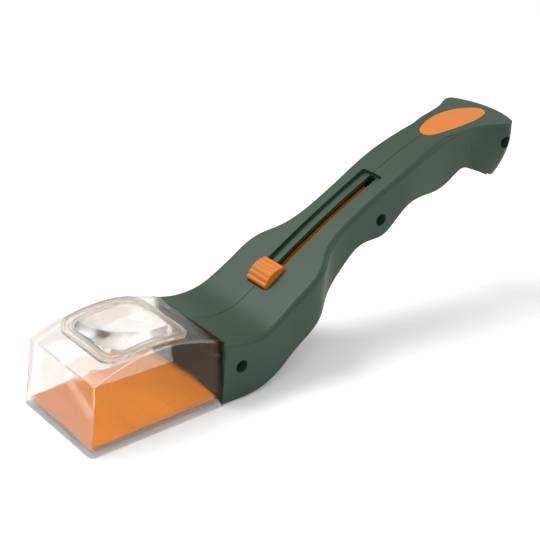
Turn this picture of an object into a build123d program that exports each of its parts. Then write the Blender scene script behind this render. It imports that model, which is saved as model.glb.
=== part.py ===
"""Hand-held insect catcher and viewer: clear magnifying box on a curved handle, with a
flexible sliding floor worked by a thumb button.

Units are millimetres. While modelling, x = 0 is the front bottom edge of the box and x grows
towards the tail; every piece is moved back by half the overall length when it is written, so
the origin ends at the bottom centre of the whole object. +Z is up, the object is symmetric
about the plane y = 0.
"""
import os
from math import asin, atan2, cos, degrees, hypot, pi, radians, sin

from build123d import *

OVERALL_LENGTH = 252.0

# clear viewing box
BOX_LENGTH = 67.2
BOX_WIDTH = 50.4
BOX_WALL = 2.0
BOX_DRAFT_DEG = 3.8
BOX_CORNER_RADIUS = 2.2
RIM_HEIGHT = 1.75
RIM_LEDGE = 1.0
ARCH_POINTS = [(0, 30.6), (10, 34.8), (22, 37.9), (34, 38.9), (46, 37.9), (58, 34.9), (68, 31.2)]
TAB_SIZE = (4.0, 6.0, 8.0)
TAB_Y = 17.0
TAB_Z = 22.0

# magnifier
LENS_CENTRE_X = 32.5
COLLAR_SIZE = (42.0, 40.0)
COLLAR_RADIUS = 7.5
COLLAR_BAND = 4.0
COLLAR_RISE = 1.6
COLLAR_GROOVE = (1.4, 0.7)
LENS_TOP_Z = 41.4
LENS_TOP_RADIUS = 52.0
LENS_BOTTOM_Z = 32.6
LENS_BOTTOM_RADIUS = 45.0
LENS_GAP = 0.05

# handle outline seen from the side (x, z) and half of its outline seen from above (x, y)
SHELL_TOP = [(67.2, 31.3), (76, 29.2), (84, 28.6), (92, 30.0), (100, 34.3), (112, 42.2), (126, 50.9),
             (140, 59.1), (158, 68.8), (176, 78.1), (192, 85.1), (208, 90.4), (222, 93.0), (237, 94.0),
             (252, 94.4)]
SHELL_BOTTOM = [(77, 1.0), (87, 2.0), (98, 6.0), (110, 14.8), (122, 22.9), (134, 31.6), (146, 41.6),
                (153, 47.4), (161, 49.4), (169, 50.2), (177, 56.4), (185, 62.6), (194, 64.2),
                (205, 64.3), (214, 67.4), (223, 72.2), (231, 69.6), (240, 66.5), (252, 67.2)]
SHELL_SIDE = [(67.2, 25.1), (77, 25.4), (86, 25.7), (98, 25.0), (110, 24.2), (120, 23.7), (125, 22.0),
              (132, 17.2), (139, 14.3), (150, 13.1), (164, 13.2), (182, 13.8), (200, 12.7), (216, 12.1),
              (232, 12.8), (246, 13.4)]
HEAD_BOTTOM_Z = 1.0
TAIL_TIP_X = 250.8
TAIL_END_X = 248.5
FLARE_HALF = [(206, 11.0), (222, 12.9), (231, 15.0), (239, 18.8), (245.5, 21.5)]
FLARE_BELLY = [(216, 8.0), (224, 10.5), (231, 15.0), (238, 19.2), (245.5, 21.0)]
FLARE_ROOT = [(218, 6.5), (225, 9.0), (231, 12.5), (237, 15.5), (243, 16.5)]
FLARE_BELLY_DEPTH = 15.0
FLARE_DEPTH = 29.0
FLARE_EDGE = 3.2
FLARE_CORNER = 4.5
TAIL_ROUND = 10.0
TAIL_ROUND_CENTRE = (241.5, 76.7)
SHELL_WALL = 1.3
BULKHEAD = 2.0
EDGE_ROUND = 2.4
PASSAGE_TOP = 5.6
PASSAGE_HALF = 23.0

# thumb slot: the slider turns about a far centre, so its slot is a shallow arc
ARC_X = 365.3
ARC_Z = -332.7
LEDGE_RADIUS = 450.0
LEDGE_THICK = 2.0
LEDGE_GAP_HALF = 2.2
SLOT_START = (103.8, 36.8)
SLOT_END = (172.6, 76.1)
SLOT_WIDTH = 12.8
SLOT_CORNER = 1.5
SLOT_WALL_HALF = 7.8
BUTTON_LENGTH = 13.2
BUTTON_WIDTH = 12.4
BUTTON_RISE = 6.6
RIDGE_COUNT = 6
RIDGE_RADIUS = 1.25
STEM_WIDTH = 3.0
STRIP_RADIUS = 444.0
STRIP_WIDTH = 9.6
STRIP_END_X = 172.5
SHEET = 0.8

# sliding floor: rigid strips that stand in for one flexible sheet
DOOR_FRONT_X = 2.5
DOOR_Z = 3.5
STRIP_COUNT = 6
STRIP_PITCH = 10.6
STRIP_GAP = 0.5
DOOR_FRONT_HALF = 22.6
DOOR_REAR_HALF = 21.8
DOOR_CHAMFER = 2.0
ANCHOR_RADIUS = 438.5
ANCHOR_ANGLE_DEG = 37.05
ANCHOR_WIDTH = 14.0
ANCHOR_LENGTH = 6.0
TONGUE_LENGTH = 33.0
TONGUE_SLOPE_DEG = 21.4
TONGUE_GAP = 0.2

# inlay, screws and bosses
INLAY_CENTRE_X = 225.2
INLAY_SIZE = (42.5, 17.0)
INLAY_DEPTH = 0.7
INLAY_POINTS = 12
BOSSES = [(76.5, 16.9), (167.2, 58.6), (242.5, 84.5)]
BOSS_RADIUS = 4.0
SINK_RADIUS = 3.0
SINK_FLOOR_Y = -5.0
SCREW_HEAD_RADIUS = 2.7
SCREW_HEAD_HEIGHT = 2.0
SCREW_SHANK_RADIUS = 1.4
SCREW_TIP_Y = 7.0

FAR = 120.0


def upright(face, half=FAR / 2):
    """Solid of a side outline, spread evenly either side of the middle plane."""
    return extrude(face, half, both=True)


def side_face(edges):
    """Face in the side view; local x is the object's x, local y is its height."""
    return Plane.XZ * make_face(edges)


def arc_point(radius, angle_deg):
    """Point on a circle about the slider's far centre, angle measured back from straight up."""
    turn = radians(angle_deg)
    return ARC_X - radius * sin(turn), ARC_Z + radius * cos(turn)


def arc_angle(radius, x):
    return degrees(asin((ARC_X - x) / radius))


def arc_disc(radius):
    return Pos(ARC_X, 0, ARC_Z) * Rot(90, 0, 0) * Cylinder(radius, FAR)


def arc_plane(radius, angle_deg):
    """Work plane on the slot arc: local x runs up the slope, local z points out of the handle."""
    x, z = arc_point(radius, angle_deg)
    turn = radians(angle_deg)
    return Plane(origin=(x, 0, z), x_dir=(cos(turn), 0, sin(turn)), z_dir=(-sin(turn), 0, cos(turn)))


def slab(x0, x1, y0, y1, z0, z1):
    return Pos((x0 + x1) / 2, (y0 + y1) / 2, (z0 + z1) / 2) * Box(x1 - x0, y1 - y0, z1 - z0)


def cross_rod(x, z, radius, y0, y1):
    return Pos(x, (y0 + y1) / 2, z) * Rot(90, 0, 0) * Cylinder(radius, y1 - y0)


# ---------------------------------------------------------------- viewing box
def under_arch(rise):
    """Everything below the box's arched top, raised or lowered by rise."""
    top = [(x, z + rise) for x, z in ARCH_POINTS]
    arch = Spline(*top)
    ends = [Line((0, -1), (0, top[0][1])), Line((68, top[-1][1]), (68, -1)), Line((68, -1), (0, -1))]
    return upright(side_face([arch] + ends))


def drafted_block(inset, corner):
    """Block with leaning sides and front; it runs on past the junction before it is trimmed."""
    length = 2 * BOX_LENGTH - 2 * inset
    outline = RectangleRounded(length, BOX_WIDTH - 2 * inset, corner)
    return Pos(BOX_LENGTH, 0, 0) * extrude(outline, 45, taper=BOX_DRAFT_DEG)


def lens_prism(width_x, width_y, corner):
    outline = RectangleRounded(width_x, width_y, corner)
    return Pos(LENS_CENTRE_X, 0, 25) * extrude(outline, 25)


LENS_SIZE = (COLLAR_SIZE[0] - 2 * COLLAR_BAND, COLLAR_SIZE[1] - 2 * COLLAR_BAND)
LENS_CORNER = COLLAR_RADIUS - 2.0
lens_opening = lens_prism(LENS_SIZE[0], LENS_SIZE[1], LENS_CORNER)

outer_box = drafted_block(0, BOX_CORNER_RADIUS) & under_arch(0) & slab(0, BOX_LENGTH, -30, 30, 0, 60)
inner_box = drafted_block(BOX_WALL, 1.2) & under_arch(-BOX_WALL)
inner_box = inner_box & slab(0, BOX_LENGTH - BOX_WALL, -30, 30, RIM_HEIGHT, 60)
mouth = slab(BOX_WALL + RIM_LEDGE, BOX_LENGTH - BOX_WALL - RIM_LEDGE,
             -BOX_WIDTH / 2 + BOX_WALL + RIM_LEDGE, BOX_WIDTH / 2 - BOX_WALL - RIM_LEDGE, -1, RIM_HEIGHT + 1)
door_passage = slab(BOX_LENGTH - BOX_WALL - 1, BOX_LENGTH + BULKHEAD + 0.5,
                    -PASSAGE_HALF, PASSAGE_HALF, RIM_HEIGHT, PASSAGE_TOP)
viewing_box = outer_box - inner_box - mouth - door_passage - lens_opening
box_tabs = [slab(BOX_LENGTH, BOX_LENGTH + TAB_SIZE[0], side * TAB_Y - TAB_SIZE[1] / 2,
                 side * TAB_Y + TAB_SIZE[1] / 2, TAB_Z, TAB_Z + TAB_SIZE[2]) for side in (-1, 1)]
for tab in box_tabs:
    viewing_box = viewing_box + tab

collar_ring = lens_prism(COLLAR_SIZE[0], COLLAR_SIZE[1], COLLAR_RADIUS) - lens_opening
groove_mid = COLLAR_BAND - COLLAR_GROOVE[0]
groove_ring = lens_prism(COLLAR_SIZE[0] - groove_mid, COLLAR_SIZE[1] - groove_mid, COLLAR_RADIUS - 0.7)
groove_core = COLLAR_SIZE[0] - groove_mid - 2 * COLLAR_GROOVE[0]
groove_ring = groove_ring - lens_prism(groove_core, groove_core - 2, COLLAR_RADIUS - 1.4)
lens_collar = collar_ring & (under_arch(COLLAR_RISE) - under_arch(0))
groove_layer = under_arch(COLLAR_RISE + 1) - under_arch(COLLAR_RISE - COLLAR_GROOVE[1])
lens_collar = lens_collar - (groove_ring & groove_layer)

magnifier_lens = lens_prism(LENS_SIZE[0] - 2 * LENS_GAP, LENS_SIZE[1] - 2 * LENS_GAP, LENS_CORNER)
magnifier_lens = magnifier_lens & (Pos(LENS_CENTRE_X, 0, LENS_TOP_Z - LENS_TOP_RADIUS) * Sphere(LENS_TOP_RADIUS))
magnifier_lens = magnifier_lens & (Pos(LENS_CENTRE_X, 0, LENS_BOTTOM_Z + LENS_BOTTOM_RADIUS)
                                   * Sphere(LENS_BOTTOM_RADIUS))


# ---------------------------------------------------------------- handle shells
def moved_in(points, amount):
    """Points shifted square to their own line, to its right for a positive amount."""
    moved = []
    last = len(points) - 1
    for index, (x, y) in enumerate(points):
        x_back, y_back = points[max(index - 1, 0)]
        x_next, y_next = points[min(index + 1, last)]
        run = hypot(x_next - x_back, y_next - y_back)
        moved.append((x + amount * (y_next - y_back) / run, y - amount * (x_next - x_back) / run))
    return moved


def side_solid(inset=0.0, drop=0.0):
    """Handle seen from the side, spread across y; inset thins it all round, drop lowers its top."""
    top_points = [(x, z - drop) for x, z in moved_in(SHELL_TOP, inset)]
    bottom_points = moved_in(SHELL_BOTTOM, -inset)
    floor_z = bottom_points[0][1]
    x_front = top_points[0][0]
    lines = [Line(top_points[0], (x_front, floor_z)), Line((x_front, floor_z), bottom_points[0]),
             Line(bottom_points[-1], top_points[-1])]
    curves = [Spline(*top_points), Spline(*bottom_points, tangents=[(1, 0), (1, 0.3)])]
    return upright(side_face(curves + lines))


def plan_face(points, tip_x):
    """Face seen from above: a half outline, its mirror image, and a bowed tail."""
    mirrored = [(x, -y) for x, y in points]
    x_front, half = points[0]
    x_rear, rear_half = points[-1]
    tail = ThreePointArc((x_rear, -rear_half), (tip_x, 0), (x_rear, rear_half))
    return make_face([Spline(*points), Spline(*mirrored), tail, Line((x_front, -half), (x_front, half))])


def rounded_tail(face):
    """The same outline with its two tail corners rounded off."""
    corners = [vertex for vertex in face.vertices() if vertex.X > 242]
    return fillet(corners, FLARE_CORNER)


grip = side_solid() & extrude(plan_face(SHELL_SIDE, TAIL_TIP_X), FAR)
top_edges = [edge for edge in grip.edges() if edge.length > 60 and edge.center().Z > 55]
flare_top = SHELL_TOP[-1][1] + 1.0
flare_plan = rounded_tail(plan_face(FLARE_HALF, OVERALL_LENGTH))
flare_belly = rounded_tail(plan_face(FLARE_BELLY, TAIL_TIP_X))
flare_root = rounded_tail(plan_face(FLARE_ROOT, TAIL_END_X))
flare = extrude(Pos(0, 0, flare_top - FLARE_EDGE) * flare_plan, FLARE_EDGE)
flare = flare + loft([Pos(0, 0, flare_top - FLARE_EDGE) * flare_plan,
                      Pos(0, 0, flare_top - FLARE_BELLY_DEPTH) * flare_belly,
                      Pos(0, 0, flare_top - FLARE_DEPTH) * flare_root])
flare = flare & side_solid()
handle = fillet(top_edges, EDGE_ROUND) + flare
round_x, round_z = TAIL_ROUND_CENTRE
tail_corner = slab(round_x, round_x + 2 * TAIL_ROUND, -30, 30, round_z - 2 * TAIL_ROUND, round_z)
handle = handle - (tail_corner - cross_rod(round_x, round_z, TAIL_ROUND, -31, 31))

hollow = side_solid(SHELL_WALL) & extrude(plan_face(moved_in(SHELL_SIDE, SHELL_WALL), TAIL_END_X), FAR)
hollow = hollow & slab(BOX_LENGTH + BULKHEAD, TAIL_END_X - 4, -30, 30, 0, FAR)

# thumb slot: a channel whose floor is two ledges with a gap between them
slot_length = hypot(SLOT_END[0] - SLOT_START[0], SLOT_END[1] - SLOT_START[1])
slot_slope = atan2(SLOT_END[1] - SLOT_START[1], SLOT_END[0] - SLOT_START[0])
slot_plane = Plane(origin=((SLOT_START[0] + SLOT_END[0]) / 2, 0, (SLOT_START[1] + SLOT_END[1]) / 2),
                   x_dir=(cos(slot_slope), 0, sin(slot_slope)),
                   z_dir=(-sin(slot_slope), 0, cos(slot_slope)))
slot = extrude(slot_plane * RectangleRounded(slot_length, SLOT_WIDTH, SLOT_CORNER), 12, both=True)
slot = slot - arc_disc(LEDGE_RADIUS)
gap_length = slot_length - 1.0
ledge_gap = slot_plane * Box(gap_length, 2 * LEDGE_GAP_HALF, 30)
channel = slot_plane * Box(slot_length + 3, 2 * SLOT_WALL_HALF, 24)
channel = (channel & handle) - arc_disc(LEDGE_RADIUS - LEDGE_THICK)

shell = handle - hollow + channel - slot - ledge_gap
shell = shell - door_passage
for side_sign in (-1, 1):
    shell = shell - slab(BOX_LENGTH - 1, BOX_LENGTH + TAB_SIZE[0], side_sign * TAB_Y - TAB_SIZE[1] / 2 - 0.1,
                         side_sign * TAB_Y + TAB_SIZE[1] / 2 + 0.1, TAB_Z - 0.1, TAB_Z + TAB_SIZE[2] + 0.1)

oval_points = []
for step in range(INLAY_POINTS):
    turn = 2 * pi * (step + 0.5) / INLAY_POINTS
    oval_points.append((INLAY_SIZE[0] / 2 * cos(turn), INLAY_SIZE[1] / 2 * sin(turn)))
inlay_prism = Pos(INLAY_CENTRE_X, 0, 85) * extrude(make_face(Spline(*oval_points, periodic=True)), 20)
oval_inlay = (inlay_prism & side_solid()) - side_solid(drop=INLAY_DEPTH)
shell = shell - oval_inlay

screws = []
for x, z in BOSSES:
    post = cross_rod(x, z, BOSS_RADIUS, -30, 30) & handle
    shell = shell + post
    shell = shell - cross_rod(x, z, SINK_RADIUS, -40, SINK_FLOOR_Y)
    shell = shell - cross_rod(x, z, SCREW_SHANK_RADIUS, SINK_FLOOR_Y - 1, SCREW_TIP_Y)
    head = cross_rod(x, z, SCREW_HEAD_RADIUS, SINK_FLOOR_Y - SCREW_HEAD_HEIGHT, SINK_FLOOR_Y)
    drive = Pos(x, SINK_FLOOR_Y - SCREW_HEAD_HEIGHT, z) * (Box(3.0, 2.0, 0.7) + Box(0.7, 2.0, 3.0))
    shank = cross_rod(x, z, SCREW_SHANK_RADIUS, SINK_FLOOR_Y, SCREW_TIP_Y)
    screws.append(head - drive + shank)

left_shell = split(shell, bisect_by=Plane.XZ, keep=Keep.BOTTOM)
right_shell = split(shell, bisect_by=Plane.XZ, keep=Keep.TOP)


# ---------------------------------------------------------------- slider
def arc_band(radius, thickness, x0, x1, width):
    """Strip of sheet bent to the slot arc between two stations along the handle."""
    ring = arc_disc(radius + thickness / 2) - arc_disc(radius - thickness / 2)
    return ring & slab(x0, x1, -width / 2, width / 2, 0, FAR)


button_angle = arc_angle(LEDGE_RADIUS, SLOT_START[0] + 7.6)
button_plane = arc_plane(LEDGE_RADIUS, button_angle)
half_button = BUTTON_LENGTH / 2
button_side = make_face([Line((-half_button, 0.3), (half_button, 0.3)),
                         Line((half_button, 0.3), (half_button, 3.6)),
                         ThreePointArc((half_button, 3.6), (0.4, BUTTON_RISE - 0.5), (-half_button, 3.2)),
                         Line((-half_button, 3.2), (-half_button, 0.3))])
button = extrude(Plane.XZ * button_side, BUTTON_WIDTH / 2, both=True)
ridge_span = BUTTON_LENGTH - 2 * RIDGE_RADIUS
for index in range(RIDGE_COUNT):
    along = -ridge_span / 2 + index * ridge_span / (RIDGE_COUNT - 1)
    rise = BUTTON_RISE - 1.4 - 0.062 * along * along
    button = button + cross_rod(along, rise, RIDGE_RADIUS, -BUTTON_WIDTH / 2, BUTTON_WIDTH / 2)
stem_depth = LEDGE_RADIUS - STRIP_RADIUS - SHEET / 2
stem = Pos(0, 0, 0.5 - stem_depth / 2) * Box(BUTTON_LENGTH - 3, STEM_WIDTH, stem_depth + 1.0)
thumb_button = button_plane * (button + stem)

anchor_plane = arc_plane(ANCHOR_RADIUS, ANCHOR_ANGLE_DEG)
strip_start_x = arc_point(STRIP_RADIUS, ANCHOR_ANGLE_DEG)[0]
slide_strip = arc_band(STRIP_RADIUS, SHEET, strip_start_x, STRIP_END_X, STRIP_WIDTH)
web_height = STRIP_RADIUS - ANCHOR_RADIUS
web = anchor_plane * (Pos(ANCHOR_LENGTH / 2 + 0.5, 0, web_height / 2) * Box(ANCHOR_LENGTH - 1, STEM_WIDTH, web_height))
foot = anchor_plane * (Pos(ANCHOR_LENGTH / 2 + TONGUE_GAP / 2, 0, 0)
                       * Box(ANCHOR_LENGTH, ANCHOR_WIDTH, SHEET))
slide_strip = slide_strip + web + foot
slide_strip = slide_strip - thumb_button


# ---------------------------------------------------------------- sliding floor
def door_half(x):
    share = (x - DOOR_FRONT_X) / (STRIP_COUNT * STRIP_PITCH)
    return DOOR_FRONT_HALF + (DOOR_REAR_HALF - DOOR_FRONT_HALF) * share


def door_strip(index):
    """One rigid strip of the floor, with half a gap left at each edge that meets a neighbour."""
    x0 = DOOR_FRONT_X + index * STRIP_PITCH + (STRIP_GAP / 2 if index else 0)
    x1 = DOOR_FRONT_X + (index + 1) * STRIP_PITCH - STRIP_GAP / 2
    y0, y1 = door_half(x0), door_half(x1)
    outline = [(x0, -y0), (x1, -y1), (x1, y1), (x0, y0)]
    if index == STRIP_COUNT - 1:
        outline = [(x0, -y0), (x1 - DOOR_CHAMFER, -y1), (x1, DOOR_CHAMFER - y1),
                   (x1, y1 - DOOR_CHAMFER), (x1 - DOOR_CHAMFER, y1), (x0, y0)]
    face = make_face(Polyline(*outline, close=True))
    return Pos(0, 0, DOOR_Z - SHEET / 2) * extrude(face, SHEET)


tongue_x, tongue_z = arc_point(ANCHOR_RADIUS, ANCHOR_ANGLE_DEG)
tongue_turn = radians(TONGUE_SLOPE_DEG)
tongue_plane = Plane(origin=(tongue_x, 0, tongue_z), x_dir=(cos(tongue_turn), 0, sin(tongue_turn)),
                     z_dir=(-sin(tongue_turn), 0, cos(tongue_turn)))
tongue_body = Box(TONGUE_LENGTH - TONGUE_GAP / 2, ANCHOR_WIDTH, SHEET)
door_tongue = tongue_plane * (Pos(-(TONGUE_LENGTH + TONGUE_GAP / 2) / 2, 0, 0) * tongue_body)

pieces = {
    "left_shell": left_shell,
    "right_shell": right_shell,
    "viewing_box": viewing_box,
    "lens_collar": lens_collar,
    "magnifier_lens": magnifier_lens,
    "thumb_button": thumb_button,
    "slide_strip": slide_strip,
    "door_tongue": door_tongue,
    "oval_inlay": oval_inlay,
    "case_screws": Compound(children=screws),
}
for index in range(STRIP_COUNT):
    pieces[f"door_panel_{index + 1}"] = door_strip(index)

os.makedirs("parts", exist_ok=True)
for name, piece in pieces.items():
    export_step(Pos(-OVERALL_LENGTH / 2, 0, 0) * piece, f"parts/{name}.step")
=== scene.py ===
"""Looks of a hand-held insect catcher: clear magnifying box, green grip, orange sliding floor."""
import math

import bmesh
import bpy
from mathutils import Matrix, Vector


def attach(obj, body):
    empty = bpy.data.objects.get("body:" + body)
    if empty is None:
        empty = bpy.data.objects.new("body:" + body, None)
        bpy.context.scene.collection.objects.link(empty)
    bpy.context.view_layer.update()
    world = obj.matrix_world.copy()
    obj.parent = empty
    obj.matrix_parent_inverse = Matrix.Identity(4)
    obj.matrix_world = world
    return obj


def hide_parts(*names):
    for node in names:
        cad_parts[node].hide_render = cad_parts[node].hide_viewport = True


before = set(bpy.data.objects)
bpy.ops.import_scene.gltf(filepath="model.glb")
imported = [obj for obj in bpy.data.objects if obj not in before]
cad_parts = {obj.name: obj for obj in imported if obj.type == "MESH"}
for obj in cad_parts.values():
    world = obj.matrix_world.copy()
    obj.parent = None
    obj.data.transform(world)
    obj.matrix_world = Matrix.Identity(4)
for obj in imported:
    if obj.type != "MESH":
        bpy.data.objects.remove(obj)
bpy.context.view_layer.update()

bl_info = {
    "name": "Insect Catcher",
    "version": (1, 0, 0),
    "blender": (4, 5, 0),
    "location": "3D View > Sidebar > Insect Catcher",
    "description": "Builds the visible surfaces of a hand-held insect catcher and its studio",
    "category": "Object",
}

MM = 0.001
HALF_LENGTH = 126.0
STRIP_COUNT = 6
FLOOR_FRONT_X = 2.5
FLOOR_HALF = 22.6
FLOOR_TAPER = 0.8 / 63.6
FLOOR_CORNER = 2.0
FLOOR_EDGE_ROUND = 0.25
LENS_CENTRE_X = 32.5
LENS_SIZE = (33.9, 31.9)
LENS_CORNER = 5.5
LENS_TOP_Z = 41.4
LENS_TOP_RADIUS = 52.0
LENS_BOTTOM_Z = 32.6
LENS_BOTTOM_RADIUS = 45.0
LENS_BLOCK_DEPTH = 30.0
LENS_EDGE_ROUND = 0.4
MERGE_DISTANCE = 0.000002


# ------------------------------------------------------------------ settings
class CatcherFinishes(bpy.types.PropertyGroup):
    """Colours and surface grain of the catcher's plastics, and the tint of a highlight painted on the clear
    plastic's rounded edges.
    """
    green: bpy.props.FloatVectorProperty(
        name="Grip green", description="Colour of the moulded grip", subtype="COLOR",
        default=(0.021, 0.045, 0.025), min=0, max=1)
    orange: bpy.props.FloatVectorProperty(
        name="Orange", description="Colour of the thumb button and the inlay", subtype="COLOR",
        default=(0.52, 0.145, 0.010), min=0, max=1)
    sheet: bpy.props.FloatVectorProperty(
        name="Floor orange", description="Colour of the sliding floor", subtype="COLOR",
        default=(0.72, 0.215, 0.012), min=0, max=1)
    clear: bpy.props.FloatVectorProperty(
        name="Clear plastic", description="Tint of the viewing box", subtype="COLOR",
        default=(0.93, 0.915, 0.88), min=0, max=1)
    # Painted highlight: this tint goes on the rounded edges of the clear box and collar, which are made paler
    # and less see-through so they look lit.
    edge: bpy.props.FloatVectorProperty(
        name="Painted edge highlight", description="Tint painted on the clear plastic's rounded edges as a highlight", subtype="COLOR",
        default=(0.62, 0.58, 0.50), min=0, max=1)
    grain: bpy.props.FloatProperty(
        name="Grain", description="Size of the mould texture on the grip", default=0.00045,
        unit="LENGTH", precision=5)
    seam: bpy.props.FloatProperty(
        name="Seam", description="Half width of the line where the two shells meet", default=0.00016,
        unit="LENGTH", precision=5)


class CatcherShapes(bpy.types.PropertyGroup):
    """Sizes of the pieces that are modelled here."""
    sheet_thickness: bpy.props.FloatProperty(
        name="Sheet thickness", description="Thickness of the sliding floor", default=0.0008,
        unit="LENGTH", precision=5)
    sheet_height: bpy.props.FloatProperty(
        name="Sheet height", description="Height of the middle of the sliding floor", default=0.0035,
        unit="LENGTH", precision=5)
    strip_pitch: bpy.props.FloatProperty(
        name="Strip pitch", description="Distance from one floor strip to the next", default=0.0106,
        unit="LENGTH", precision=5)
    strip_gap: bpy.props.FloatProperty(
        name="Strip gap", description="Gap left between two floor strips", default=0.0001,
        unit="LENGTH", precision=5)
    clear_round: bpy.props.FloatProperty(
        name="Painted edge highlight rounding", description="Rounding of the clear box's edges", default=0.0005,
        unit="LENGTH", precision=5)


class CatcherStudio(bpy.types.PropertyGroup):
    """Camera and light settings."""
    camera_place: bpy.props.FloatVectorProperty(
        name="Camera place", description="Where the camera stands", subtype="XYZ", unit="LENGTH",
        default=(-0.34882, -0.35530, 0.29418))
    camera_turn: bpy.props.FloatProperty(
        name="Camera turn", description="Direction of the camera about the vertical",
        default=math.radians(-43.3), subtype="ANGLE")
    camera_rise: bpy.props.FloatProperty(
        name="Camera rise", description="Height angle of the camera", default=math.radians(27.3),
        subtype="ANGLE")
    camera_roll: bpy.props.FloatProperty(
        name="Camera roll", description="Tilt of the camera about its own line of sight",
        default=math.radians(4.9), subtype="ANGLE")
    lens_length: bpy.props.FloatProperty(
        name="Lens", description="Focal length in millimetres", default=81.6)
    world_light: bpy.props.FloatProperty(
        name="Room light", description="Strength of the light from all around", default=0.72)


# ------------------------------------------------------------------ materials
def new_material(name):
    material = bpy.data.materials.new(name)
    material.use_nodes = True
    tree = material.node_tree
    return material, tree, tree.nodes["Principled BSDF"]


def add_node(tree, kind, **values):
    node = tree.nodes.new(kind)
    for key, value in values.items():
        if key in node.inputs:
            node.inputs[key].default_value = value
        else:
            setattr(node, key, value)
    return node


def object_noise(tree, scale, detail=3.0, roughness=0.55):
    place = add_node(tree, "ShaderNodeTexCoord")
    noise = add_node(tree, "ShaderNodeTexNoise", Scale=scale, Detail=detail, Roughness=roughness)
    tree.links.new(place.outputs["Object"], noise.inputs["Vector"])
    return noise


def tint_between(tree, factor, dark, light):
    ramp = add_node(tree, "ShaderNodeValToRGB")
    ramp.color_ramp.elements[0].position = 0.3
    ramp.color_ramp.elements[0].color = (*dark, 1)
    ramp.color_ramp.elements[1].position = 0.7
    ramp.color_ramp.elements[1].color = (*light, 1)
    tree.links.new(factor, ramp.inputs["Fac"])
    return ramp


def scaled(colour, amount):
    return tuple(min(1.0, channel * amount) for channel in colour)


def bump_from(tree, height, strength, distance, shader, previous=None):
    bump = add_node(tree, "ShaderNodeBump", Strength=strength, Distance=distance)
    tree.links.new(height, bump.inputs["Height"])
    if previous is not None:
        tree.links.new(previous.outputs["Normal"], bump.inputs["Normal"])
    tree.links.new(bump.outputs["Normal"], shader.inputs["Normal"])
    return bump


def moulded_plastic(name, colour, grain, roughness, grain_depth=0.00003, seam=0.0):
    """Satin moulded plastic: fine spark texture, soft clouding, and a seam line where one is asked for."""
    material, tree, shader = new_material(name)
    cloud = object_noise(tree, 28.0, 4.0)
    ramp = tint_between(tree, cloud.outputs["Fac"], scaled(colour, 0.93), scaled(colour, 1.07))
    colour_out = ramp.outputs["Color"]
    spark = object_noise(tree, 1.0 / grain, 2.0, 0.6)
    bump = bump_from(tree, spark.outputs["Fac"], 0.55, grain_depth, shader)
    rough = add_node(tree, "ShaderNodeMapRange")
    rough.inputs["To Min"].default_value = roughness - 0.05
    rough.inputs["To Max"].default_value = roughness + 0.07
    tree.links.new(spark.outputs["Fac"], rough.inputs["Value"])
    tree.links.new(rough.outputs["Result"], shader.inputs["Roughness"])
    shader.inputs["Specular IOR Level"].default_value = 0.36
    if seam:
        place = add_node(tree, "ShaderNodeTexCoord")
        split = add_node(tree, "ShaderNodeSeparateXYZ")
        tree.links.new(place.outputs["Object"], split.inputs["Vector"])
        side = add_node(tree, "ShaderNodeMath", operation="ABSOLUTE")
        tree.links.new(split.outputs["Y"], side.inputs[0])
        mask = add_node(tree, "ShaderNodeMapRange", interpolation_type="SMOOTHSTEP")
        mask.inputs["From Min"].default_value = seam * 0.5
        mask.inputs["From Max"].default_value = seam * 1.6
        tree.links.new(side.outputs["Value"], mask.inputs["Value"])
        mix = add_node(tree, "ShaderNodeMix", data_type="RGBA")
        mix.inputs["A"].default_value = (*scaled(colour, 0.16), 1)
        tree.links.new(mask.outputs["Result"], mix.inputs["Factor"])
        tree.links.new(colour_out, mix.inputs["B"])
        colour_out = mix.outputs["Result"]
        bump_from(tree, mask.outputs["Result"], 1.0, 0.0002, shader, bump)
    tree.links.new(colour_out, shader.inputs["Base Color"])
    return material


def ribbed_plastic(name, colour, pitch):
    """Moulded plastic with fine straight ribs across the handle."""
    material = moulded_plastic(name, colour, 0.0004, 0.4)
    tree = material.node_tree
    shader = tree.nodes["Principled BSDF"]
    place = add_node(tree, "ShaderNodeTexCoord")
    wave = add_node(tree, "ShaderNodeTexWave", Scale=1.0 / (pitch * 20.0), wave_type="BANDS",
                    bands_direction="X", wave_profile="SIN")
    tree.links.new(place.outputs["Object"], wave.inputs["Vector"])
    previous = shader.inputs["Normal"].links[0].from_node
    bump_from(tree, wave.outputs["Fac"], 0.8, 0.00012, shader, previous)
    return material


def clear_plastic(name, tint, ior, wave_depth, body, shine):
    """Clear moulded plastic, slightly wavy; body is how much of it bends the light, shine its reflections."""
    material, tree, shader = new_material(name)
    flow = object_noise(tree, 55.0, 2.0, 0.4)
    bump_from(tree, flow.outputs["Fac"], 0.25, wave_depth, shader)
    haze = object_noise(tree, 160.0, 3.0, 0.5)
    rough = add_node(tree, "ShaderNodeMapRange")
    rough.inputs["To Min"].default_value = 0.0
    rough.inputs["To Max"].default_value = 0.035
    tree.links.new(haze.outputs["Fac"], rough.inputs["Value"])
    tree.links.new(rough.outputs["Result"], shader.inputs["Roughness"])
    cloud = object_noise(tree, 30.0, 2.0)
    ramp = tint_between(tree, cloud.outputs["Fac"], scaled(tint, 0.985), tint)
    tree.links.new(ramp.outputs["Color"], shader.inputs["Base Color"])
    shader.inputs["Transmission Weight"].default_value = 1.0
    shader.inputs["IOR"].default_value = ior
    shader.inputs["Alpha"].default_value = body
    shader.inputs["Specular IOR Level"].default_value = shine
    return material


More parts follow.
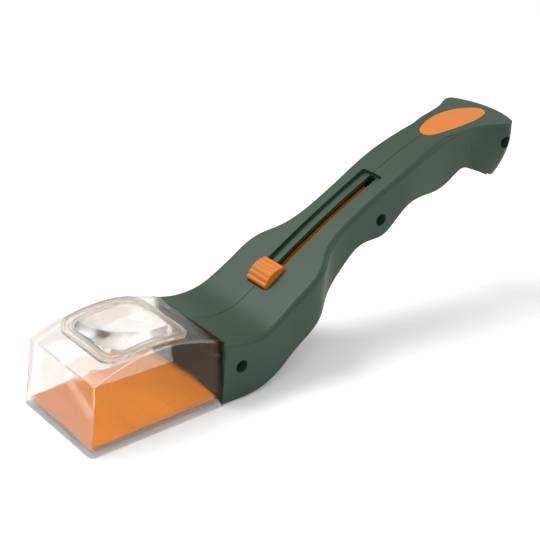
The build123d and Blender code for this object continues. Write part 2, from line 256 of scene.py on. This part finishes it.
def floor_sheet(name, colour):
    """Flexible satin sheet that lets some light through."""
    material, tree, shader = new_material(name)
    cloud = object_noise(tree, 35.0, 3.0)
    ramp = tint_between(tree, cloud.outputs["Fac"], scaled(colour, 0.95), scaled(colour, 1.05))
    tree.links.new(ramp.outputs["Color"], shader.inputs["Base Color"])
    spark = object_noise(tree, 1800.0, 2.0)
    bump_from(tree, spark.outputs["Fac"], 0.3, 0.00002, shader)
    shader.inputs["Roughness"].default_value = 0.42
    shader.inputs["Specular IOR Level"].default_value = 0.15
    shader.inputs["Subsurface Weight"].default_value = 0.25
    shader.inputs["Subsurface Radius"].default_value = (1.0, 0.4, 0.1)
    shader.inputs["Subsurface Scale"].default_value = 0.002
    return material


def dark_metal(name):
    material, tree, shader = new_material(name)
    worn = object_noise(tree, 900.0, 4.0)
    ramp = tint_between(tree, worn.outputs["Fac"], (0.006, 0.006, 0.007), (0.03, 0.03, 0.032))
    tree.links.new(ramp.outputs["Color"], shader.inputs["Base Color"])
    shader.inputs["Metallic"].default_value = 1.0
    shader.inputs["Roughness"].default_value = 0.38
    return material


def dress(node, material):
    """Give a CAD node its finish through its own material slots."""
    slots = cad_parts[node].material_slots
    for slot in slots:
        slot.material = material


# ------------------------------------------------------------------ mesh helpers
def clear_selection():
    bpy.ops.object.select_all(action="DESELECT")


def make_active(piece):
    clear_selection()
    piece.select_set(True)
    bpy.context.view_layer.objects.active = piece


def settle(piece):
    """Put the piece's place into its mesh and leave its object at the origin."""
    make_active(piece)
    bpy.ops.object.transform_apply(location=True, rotation=True, scale=True)


def select_where(piece, kind, wanted):
    """In edit mode, select only the vertices or edges whose middle passes the test."""
    bpy.ops.mesh.select_all(action="DESELECT")
    bpy.ops.mesh.select_mode(type="VERT" if kind == "verts" else "EDGE")
    mesh = bmesh.from_edit_mesh(piece.data)
    for item in getattr(mesh, kind):
        points = [item.co] if kind == "verts" else [vertex.co for vertex in item.verts]
        item.select_set(wanted(sum(points, Vector()) / len(points)))
    bmesh.update_edit_mesh(piece.data)


def round_edges(piece, width, sharper_than, finish=-1):
    """Round a piece's sharp edges; finish is the material slot of the rounded faces, -1 for their own (slot 1
    of the clear pieces holds the plastic that paints a highlight on them).
    """
    rounder = piece.modifiers.new("rounding", "BEVEL")
    rounder.width = width
    rounder.segments = 3
    rounder.limit_method = "ANGLE"
    rounder.angle_limit = sharper_than
    rounder.material = finish
    make_active(piece)
    bpy.ops.object.modifier_apply(modifier=rounder.name)


def show_piece(piece, body, replaced):
    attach(piece, body)
    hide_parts(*replaced)


def finish_piece(piece, body, material, replaced):
    piece.data.materials.clear()
    piece.data.materials.append(material)
    show_piece(piece, body, replaced)


# ------------------------------------------------------------------ operators
class CATCHER_OT_grip_finish(bpy.types.Operator):
    """Give the two grip shells, their screws and the inlay their moulded finishes"""
    bl_idname = "catcher.grip_finish"
    bl_label = "Grip finish"

    def execute(self, context):
        finishes = context.scene.catcher_finishes
        green = moulded_plastic("satin green plastic", finishes.green, finishes.grain,
                                roughness=0.46, seam=finishes.seam)
        for node in ("left_shell", "right_shell"):
            dress(node, green)
        dress("case_screws", dark_metal("blackened screw steel"))
        dress("oval_inlay", ribbed_plastic("ribbed orange plastic", finishes.orange, 0.001))
        return {"FINISHED"}


class CATCHER_OT_button_finish(bpy.types.Operator):
    """Give the thumb button and the strip below it their orange finishes"""
    bl_idname = "catcher.button_finish"
    bl_label = "Thumb button finish"

    def execute(self, context):
        finishes = context.scene.catcher_finishes
        dress("thumb_button", moulded_plastic("orange button plastic", finishes.orange, 0.0004, 0.42))
        sheet = floor_sheet("orange strip", finishes.sheet)
        dress("slide_strip", sheet)
        dress("door_tongue", sheet)
        return {"FINISHED"}


class CATCHER_OT_clear_finish(bpy.types.Operator):
    """Give the viewing box, the lens and its collar their clear plastic, with a highlight painted on the
    rounded edges of the box and collar
    """
    bl_idname = "catcher.clear_finish"
    bl_label = "Clear plastic finish"

    def execute(self, context):
        tint = context.scene.catcher_finishes.clear
        rounding = context.scene.catcher_shapes.clear_round
        box = clear_plastic("clear box plastic", tint, ior=1.22, wave_depth=0.00003, body=0.6, shine=0.15)
        collar = clear_plastic("clear collar plastic", tint, ior=1.4, wave_depth=0.00003, body=0.8, shine=0.4)
        # Painted highlight: a paler, less see-through plastic for the rounded edges of the box and collar, so
        # they look lit along their length.
        edge_highlight_tint = context.scene.catcher_finishes.edge
        edge = clear_plastic("bright edge plastic", edge_highlight_tint, ior=1.3, wave_depth=0.00003,
                             body=0.85, shine=0.5)
        edge.node_tree.nodes["Principled BSDF"].inputs["Transmission Weight"].default_value = 0.55
        lens = clear_plastic("clear lens plastic", (0.99, 0.985, 0.975), ior=1.48, wave_depth=0.00001,
                             body=0.9, shine=0.5)
        self.make_lens(lens)
        self.rounded_copy("viewing_box", "clear_box", (box, edge), rounding)
        self.rounded_copy("lens_collar", "lens_frame", (collar, edge), rounding * 0.6)
        return {"FINISHED"}

    def make_lens(self, material):
        """Two ball surfaces cut down to one rounded block."""
        centre_x = (LENS_CENTRE_X - HALF_LENGTH) * MM
        middle_z = (LENS_TOP_Z + LENS_BOTTOM_Z) / 2 * MM
        clear_selection()
        bpy.ops.mesh.primitive_cube_add(size=1.0, location=(0, 0, 0))
        piece = bpy.context.active_object
        piece.name = "bulging_lens"
        bpy.ops.object.mode_set(mode="EDIT")
        bpy.ops.mesh.select_all(action="SELECT")
        bpy.ops.transform.resize(value=(LENS_SIZE[0] * MM, LENS_SIZE[1] * MM, LENS_BLOCK_DEPTH * MM),
                                 center_override=(0, 0, 0))
        bpy.ops.transform.translate(value=(centre_x, 0, middle_z))
        select_where(piece, "edges", lambda place: abs(place.z - middle_z) < MM)
        bpy.ops.mesh.bevel(offset=LENS_CORNER * MM, segments=10, affect="EDGES")
        bpy.ops.object.mode_set(mode="OBJECT")
        for radius, height in ((LENS_TOP_RADIUS, LENS_TOP_Z - LENS_TOP_RADIUS),
                               (LENS_BOTTOM_RADIUS, LENS_BOTTOM_Z + LENS_BOTTOM_RADIUS)):
            bpy.ops.mesh.primitive_uv_sphere_add(segments=192, ring_count=160, radius=radius * MM,
                                                 location=(centre_x, 0, height * MM))
            ball = bpy.context.active_object
            make_active(piece)
            cutter = piece.modifiers.new("ball", "BOOLEAN")
            cutter.operation = "INTERSECT"
            cutter.object = ball
            bpy.ops.object.modifier_apply(modifier=cutter.name)
            bpy.data.objects.remove(ball)
        round_edges(piece, LENS_EDGE_ROUND * MM, math.radians(40.0))
        bpy.ops.object.shade_smooth_by_angle(angle=math.radians(40.0))
        finish_piece(piece, "body", material, replaced=("magnifier_lens",))

    def rounded_copy(self, node, name, materials, rounding):
        """A merged copy of a node, shown in its place, with its edges rounded and given the second material,
        which paints a highlight along them.
        """
        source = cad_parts[node]
        piece = source.copy()
        piece.data = source.data.copy()
        piece.name = name
        place = source.matrix_world.copy()
        piece.parent = None
        bpy.context.scene.collection.objects.link(piece)
        piece.matrix_world = place
        settle(piece)
        bpy.ops.object.mode_set(mode="EDIT")
        bpy.ops.mesh.select_all(action="SELECT")
        bpy.ops.mesh.remove_doubles(threshold=MERGE_DISTANCE)
        bpy.ops.mesh.dissolve_limited(angle_limit=math.radians(1.0))
        bpy.ops.object.mode_set(mode="OBJECT")
        piece.data.materials.clear()
        for material in materials:
            piece.data.materials.append(material)
        # The rounded faces get slot 1, the plastic with the painted edge highlight.
        round_edges(piece, rounding, math.radians(38.0), finish=1)
        bpy.ops.object.shade_smooth_by_angle(angle=math.radians(35.0))
        show_piece(piece, "body", (node,))


class CATCHER_OT_floor_strips(bpy.types.Operator):
    """Model the six strips of the sliding floor with hardly a gap between them"""
    bl_idname = "catcher.floor_strips"
    bl_label = "Sliding floor"

    def execute(self, context):
        finishes = context.scene.catcher_finishes
        shapes = context.scene.catcher_shapes
        sheet = floor_sheet("orange floor sheet", finishes.sheet)
        for index in range(STRIP_COUNT):
            self.make_strip(index, shapes, sheet)
        return {"FINISHED"}

    def make_strip(self, index, shapes, sheet):
        floor_front = (FLOOR_FRONT_X - HALF_LENGTH) * MM
        x_front = floor_front + index * shapes.strip_pitch
        gap = shapes.strip_gap
        x0 = x_front + (gap / 2 if index else 0)
        x1 = x_front + shapes.strip_pitch - gap / 2
        half_front = FLOOR_HALF * MM - FLOOR_TAPER * (x0 - floor_front)
        half_rear = FLOOR_HALF * MM - FLOOR_TAPER * (x1 - floor_front)
        clear_selection()
        bpy.ops.mesh.primitive_cube_add(size=1.0, location=(0, 0, 0))
        piece = bpy.context.active_object
        piece.name = f"floor_strip_{index + 1}"
        bpy.ops.object.mode_set(mode="EDIT")
        bpy.ops.mesh.select_all(action="SELECT")
        bpy.ops.transform.resize(value=(x1 - x0, 2 * half_front, shapes.sheet_thickness),
                                 center_override=(0, 0, 0))
        select_where(piece, "verts", lambda place: place.x > 0)
        bpy.ops.transform.resize(value=(1, half_rear / half_front, 1), center_override=(0, 0, 0))
        bpy.ops.mesh.select_all(action="SELECT")
        bpy.ops.transform.translate(value=((x0 + x1) / 2, 0, shapes.sheet_height))
        if index == STRIP_COUNT - 1:
            select_where(piece, "edges", lambda place: place.x > x1 - 0.1 * MM
                         and abs(place.y) > half_rear * 0.9)
            bpy.ops.mesh.bevel(offset=FLOOR_CORNER * MM, segments=1, affect="EDGES")
        select_where(piece, "edges", lambda place: abs(place.y) > half_rear * 0.98
                     and abs(place.z - shapes.sheet_height) > shapes.sheet_thickness * 0.4)
        bpy.ops.mesh.bevel(offset=FLOOR_EDGE_ROUND * MM, segments=3, affect="EDGES")
        bpy.ops.object.mode_set(mode="OBJECT")
        bpy.ops.object.shade_smooth_by_angle(angle=math.radians(30.0))
        settle(piece)
        node = f"door_panel_{index + 1}"
        finish_piece(piece, f"panel_{index + 1}", sheet, replaced=(node,))


def area_light(name, place, target, size, power, colour=(1, 1, 1)):
    data = bpy.data.lights.new(name, "AREA")
    data.shape = "RECTANGLE"
    data.size, data.size_y = size
    data.energy = power
    data.color = colour
    lamp = bpy.data.objects.new(name, data)
    bpy.context.scene.collection.objects.link(lamp)
    lamp.location = place
    lamp.rotation_euler = (Vector(target) - Vector(place)).to_track_quat("-Z", "Y").to_euler()
    return lamp


class CATCHER_OT_studio(bpy.types.Operator):
    """Set up the pale floor, the soft lights and the camera"""
    bl_idname = "catcher.studio"
    bl_label = "Studio"

    def execute(self, context):
        settings = context.scene.catcher_studio
        self.make_floor()
        self.make_room(context, settings.world_light)
        area_light("key softbox", (-0.45, 0.55, 1.3), (0.02, 0, 0.03), (0.7, 0.7), 16.0)
        area_light("front fill", (-0.5, -0.5, 0.5), (-0.03, 0, 0.03), (0.4, 0.4), 1.3)
        area_light("side fill", (0.55, -0.35, 0.45), (0.03, 0, 0.05), (0.4, 0.3), 0.9)
        self.make_camera(context, settings)
        return {"FINISHED"}

    def make_floor(self):
        clear_selection()
        bpy.ops.mesh.primitive_plane_add(size=6.0, location=(0, 0, 0))
        floor = bpy.context.active_object
        floor.name = "studio_floor"
        material, tree, shader = new_material("matt white floor")
        mottle = object_noise(tree, 6.0, 3.0)
        ramp = tint_between(tree, mottle.outputs["Fac"], (0.86, 0.86, 0.86), (0.88, 0.88, 0.88))
        tree.links.new(ramp.outputs["Color"], shader.inputs["Base Color"])
        shader.inputs["Roughness"].default_value = 0.9
        floor.data.materials.append(material)

    def make_room(self, context, strength):
        world = bpy.data.worlds.new("white room")
        world.use_nodes = True
        world.node_tree.nodes["Background"].inputs["Color"].default_value = (1, 1, 1, 1)
        world.node_tree.nodes["Background"].inputs["Strength"].default_value = strength
        context.scene.world = world
        context.scene.view_settings.view_transform = "Standard"

    def make_camera(self, context, settings):
        turn, rise, roll = settings.camera_turn, settings.camera_rise, settings.camera_roll
        back = Vector((math.sin(turn) * math.cos(rise), -math.cos(turn) * math.cos(rise), math.sin(rise)))
        right = (-back).cross(Vector((0, 0, 1))).normalized()
        up = right.cross(-back)
        tilted_right = right * math.cos(roll) + up * math.sin(roll)
        tilted_up = up * math.cos(roll) - right * math.sin(roll)
        facing = Matrix((tilted_right, tilted_up, back)).transposed().to_4x4()
        data = bpy.data.cameras.new("view camera")
        data.lens = settings.lens_length
        data.sensor_width = 36.0
        data.clip_start = 0.01
        camera = bpy.data.objects.new("view camera", data)
        context.scene.collection.objects.link(camera)
        camera.matrix_world = Matrix.Translation(settings.camera_place) @ facing
        context.scene.camera = camera


class CATCHER_PT_panel(bpy.types.Panel):
    """Lists the catcher's pieces, finishes and studio"""
    bl_idname = "CATCHER_PT_panel"
    bl_label = "Insect Catcher"
    bl_space_type = "VIEW_3D"
    bl_region_type = "UI"
    bl_category = "Insect Catcher"

    def draw(self, context):
        column = self.layout.column()
        scene = context.scene
        for group in (scene.catcher_finishes, scene.catcher_shapes, scene.catcher_studio):
            for name in group.__annotations__:
                column.prop(group, name)
        for operator in OPERATORS:
            column.operator(operator.bl_idname)


OPERATORS = (
    CATCHER_OT_grip_finish,
    CATCHER_OT_button_finish,
    CATCHER_OT_clear_finish,
    CATCHER_OT_floor_strips,
    CATCHER_OT_studio,
)
GROUPS = (CatcherFinishes, CatcherShapes, CatcherStudio)
CLASSES = GROUPS + OPERATORS + (CATCHER_PT_panel,)


def register():
    for item in CLASSES:
        bpy.utils.register_class(item)
    bpy.types.Scene.catcher_finishes = bpy.props.PointerProperty(type=CatcherFinishes)
    bpy.types.Scene.catcher_shapes = bpy.props.PointerProperty(type=CatcherShapes)
    bpy.types.Scene.catcher_studio = bpy.props.PointerProperty(type=CatcherStudio)


def unregister():
    del bpy.types.Scene.catcher_studio
    del bpy.types.Scene.catcher_shapes
    del bpy.types.Scene.catcher_finishes
    for item in reversed(CLASSES):
        bpy.utils.unregister_class(item)


def main():
    register()
    bpy.ops.catcher.grip_finish()
    bpy.ops.catcher.button_finish()
    bpy.ops.catcher.clear_finish()
    bpy.ops.catcher.floor_strips()
    bpy.ops.catcher.studio()


if __name__ == "__main__":
    main()
